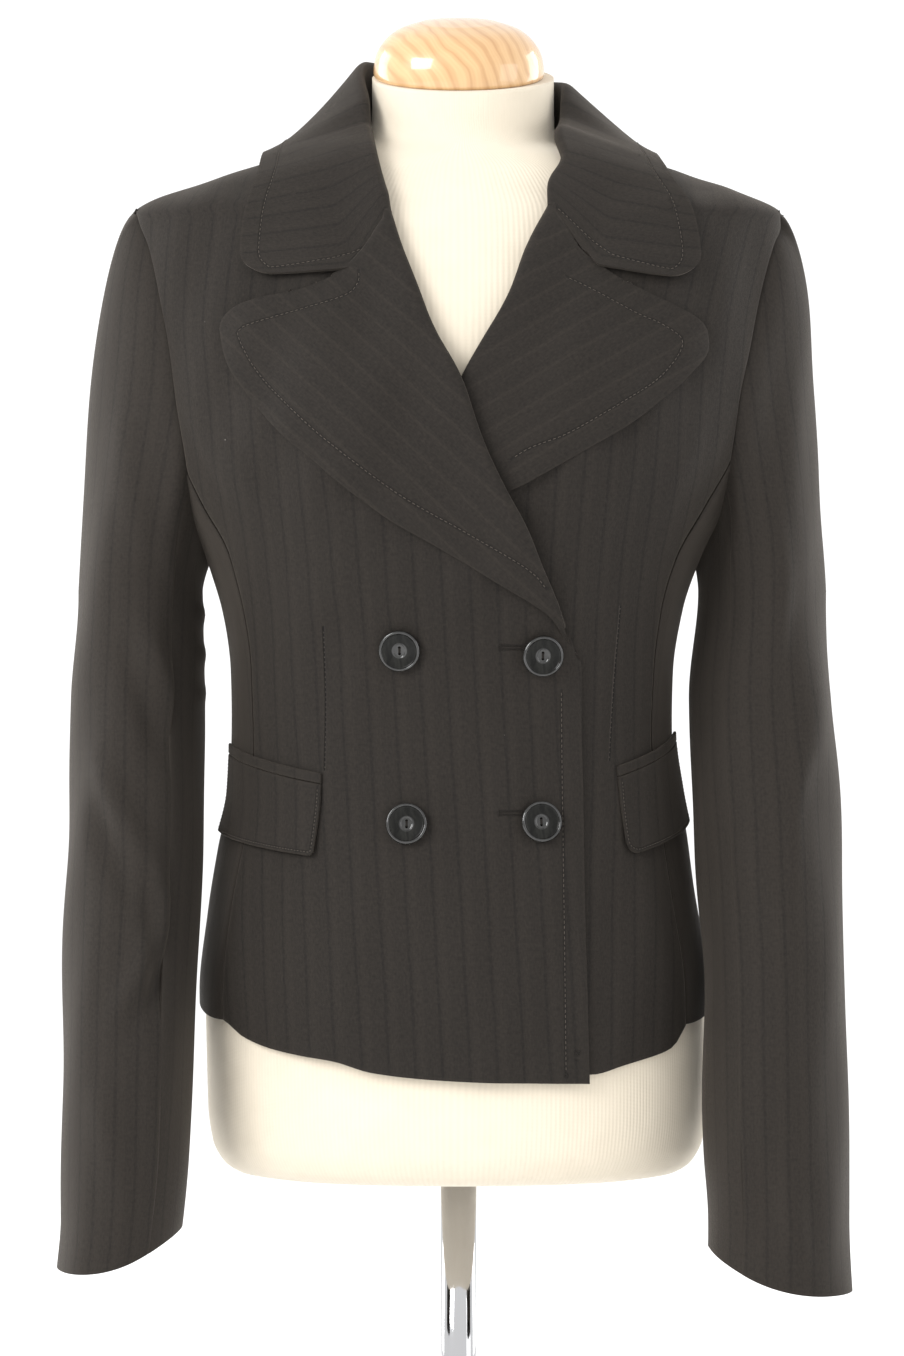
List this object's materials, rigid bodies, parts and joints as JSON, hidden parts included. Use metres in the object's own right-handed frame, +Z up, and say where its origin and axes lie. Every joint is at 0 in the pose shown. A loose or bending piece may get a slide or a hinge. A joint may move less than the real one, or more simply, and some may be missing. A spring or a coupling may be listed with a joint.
{
  "type": "blazer and dress form",
  "caption": "Cropped double-breasted blazer with notched lapels, flap pockets and long sleeves, worn by a limbless dress form on a pole and round base.",
  "frame": {"origin": "on the floor, under the middle of the base", "axes": "+Z up, -Y the way the wearer faces, +X to the wearer's left"},
  "size_m": [0.4616, 0.3, 0.9584],
  "materials": {
    "front_right": "matte wool suiting",
    "front_left": "matte wool suiting",
    "side_right": "matte wool suiting",
    "side_left": "matte wool suiting",
    "back_right": "matte wool suiting",
    "back_left": "matte wool suiting",
    "sleeve_upper_right": "matte wool suiting",
    "sleeve_upper_left": "matte wool suiting",
    "sleeve_under_right": "matte wool suiting",
    "sleeve_under_left": "matte wool suiting",
    "flap_right": "matte wool suiting",
    "flap_left": "matte wool suiting",
    "welt_right": "matte wool suiting",
    "welt_left": "matte wool suiting",
    "collar": "matte wool suiting",
    "button_1": "polished dark resin",
    "button_2": "polished dark resin",
    "button_3": "polished dark resin",
    "button_4": "polished dark resin",
    "form_torso": "cream stretch jersey",
    "neck_cap": "varnished",
    "pole": "polished",
    "base": "polished"
  },
  "bodies": {
    "root": {"front_right": "front_right", "front_left": "front_left", "side_right": "side_right", "side_left": "side_left", "back_right": "back_right", "back_left": "back_left", "sleeve_upper_right": "sleeve_upper_right", "sleeve_upper_left": "sleeve_upper_left", "sleeve_under_right": "sleeve_under_right", "sleeve_under_left": "sleeve_under_left", "flap_right": "flap_right", "flap_left": "flap_left", "welt_right": "welt_right", "welt_left": "welt_left", "collar": "collar", "button_1": "button_1", "button_2": "button_2", "button_3": "button_3", "button_4": "button_4", "form_torso": "form_torso", "neck_cap": "neck_cap", "pole": "pole", "base": "base"}
  },
  "joints": []
}
